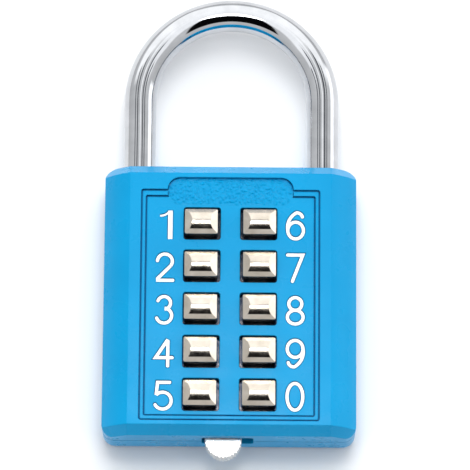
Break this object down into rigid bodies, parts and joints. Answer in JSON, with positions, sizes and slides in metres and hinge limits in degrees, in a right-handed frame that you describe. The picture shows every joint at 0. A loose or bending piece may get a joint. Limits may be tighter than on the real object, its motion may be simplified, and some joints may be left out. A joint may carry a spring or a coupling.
{
  "type": "push-button combination padlock",
  "caption": "Push-button combination padlock with a painted die-cast body, a keypad of bevelled metal buttons, a round chrome shackle and a sliding knurled release tab.",
  "frame": {"origin": "centre of the body's flat back, on which the padlock lies", "axes": "+X to the right as the keypad is read, +Y towards the shackle, +Z out of the keypad"},
  "size_m": [0.047, 0.0889, 0.0165],
  "materials": {
    "body_paint": "gloss enamel on die-cast metal",
    "white_enamel": "white filled enamel",
    "shackle_chrome": "polished chrome plate on steel",
    "button_nickel": "bright nickel plate",
    "tab_nickel": "satin nickel plate",
    "plated_steel": "zinc-plated pressed steel",
    "spring_wire": "drawn spring wire"
  },
  "bodies": {
    "body": {"front_shell": "body_paint", "rear_shell": "body_paint", "case_rivets": "body_paint", "numeral_filling": "white_enamel", "shackle_stop_pin": "plated_steel", "guide_plate": "plated_steel", "guide_plate_screws": "plated_steel", "detent_studs": "plated_steel", "shackle_spring": "spring_wire", "detent_spring": "spring_wire", "slide_spring": "spring_wire", "bolt_spring": "spring_wire", "button_1_spring": "spring_wire", "button_2_spring": "spring_wire", "button_3_spring": "spring_wire", "button_4_spring": "spring_wire", "button_5_spring": "spring_wire", "button_6_spring": "spring_wire", "button_7_spring": "spring_wire", "button_8_spring": "spring_wire", "button_9_spring": "spring_wire", "button_0_spring": "spring_wire"},
    "shackle": {"shackle": "shackle_chrome"},
    "release_slide": {"release_slide": "plated_steel", "release_tab": "tab_nickel", "tab_rivets": "plated_steel"},
    "locking_bolt": {"locking_bolt": "plated_steel"},
    "detent_plate": {"detent_plate": "plated_steel"},
    "button_1": {"button_1": "button_nickel"},
    "button_2": {"button_2": "button_nickel"},
    "button_3": {"button_3": "button_nickel"},
    "button_4": {"button_4": "button_nickel"},
    "button_5": {"button_5": "button_nickel"},
    "button_6": {"button_6": "button_nickel"},
    "button_7": {"button_7": "button_nickel"},
    "button_8": {"button_8": "button_nickel"},
    "button_9": {"button_9": "button_nickel"},
    "button_0": {"button_0": "button_nickel"}
  },
  "joints": [
    {"name": "shackle_slide", "type": "slide", "parent": "body", "child": "shackle", "axis": [0, 1, 0], "range_m": [0, 0.011], "deforming": ["shackle_spring"]},
    {"name": "release_slide", "type": "slide", "parent": "body", "child": "release_slide", "axis": [1, 0, 0], "range_m": [0, 0.002], "stiffness_N_per_m": 200, "springref_m": -0.001, "deforming": ["slide_spring"]},
    {"name": "bolt_slide", "type": "slide", "parent": "body", "child": "locking_bolt", "axis": [1, 0, 0], "range_m": [0, 0.002], "deforming": ["bolt_spring"]},
    {"name": "detent_slide", "type": "slide", "parent": "body", "child": "detent_plate", "axis": [0, 1, 0], "range_m": [0, 0.0006], "stiffness_N_per_m": 300, "springref_m": -0.0005, "deforming": ["detent_spring"]},
    {"name": "button_1_press", "type": "slide", "parent": "body", "child": "button_1", "axis": [0, 0, -1], "range_m": [0, 0.0013], "stiffness_N_per_m": 300, "springref_m": -0.001, "deforming": ["button_1_spring"]},
    {"name": "button_2_press", "type": "slide", "parent": "body", "child": "button_2", "axis": [0, 0, -1], "range_m": [0, 0.0013], "stiffness_N_per_m": 300, "springref_m": -0.001, "deforming": ["button_2_spring"]},
    {"name": "button_3_press", "type": "slide", "parent": "body", "child": "button_3", "axis": [0, 0, -1], "range_m": [0, 0.0013], "stiffness_N_per_m": 300, "springref_m": -0.001, "deforming": ["button_3_spring"]},
    {"name": "button_4_press", "type": "slide", "parent": "body", "child": "button_4", "axis": [0, 0, -1], "range_m": [0, 0.0013], "stiffness_N_per_m": 300, "springref_m": -0.001, "deforming": ["button_4_spring"]},
    {"name": "button_5_press", "type": "slide", "parent": "body", "child": "button_5", "axis": [0, 0, -1], "range_m": [0, 0.0013], "stiffness_N_per_m": 300, "springref_m": -0.001, "deforming": ["button_5_spring"]},
    {"name": "button_6_press", "type": "slide", "parent": "body", "child": "button_6", "axis": [0, 0, -1], "range_m": [0, 0.0013], "stiffness_N_per_m": 300, "springref_m": -0.001, "deforming": ["button_6_spring"]},
    {"name": "button_7_press", "type": "slide", "parent": "body", "child": "button_7", "axis": [0, 0, -1], "range_m": [0, 0.0013], "stiffness_N_per_m": 300, "springref_m": -0.001, "deforming": ["button_7_spring"]},
    {"name": "button_8_press", "type": "slide", "parent": "body", "child": "button_8", "axis": [0, 0, -1], "range_m": [0, 0.0013], "stiffness_N_per_m": 300, "springref_m": -0.001, "deforming": ["button_8_spring"]},
    {"name": "button_9_press", "type": "slide", "parent": "body", "child": "button_9", "axis": [0, 0, -1], "range_m": [0, 0.0013], "stiffness_N_per_m": 300, "springref_m": -0.001, "deforming": ["button_9_spring"]},
    {"name": "button_0_press", "type": "slide", "parent": "body", "child": "button_0", "axis": [0, 0, -1], "range_m": [0, 0.0013], "stiffness_N_per_m": 300, "springref_m": -0.001, "deforming": ["button_0_spring"]}
  ],
  "couplings": [
    {"joint": "bolt_slide", "follows": "release_slide", "ratio": 1}
  ]
}
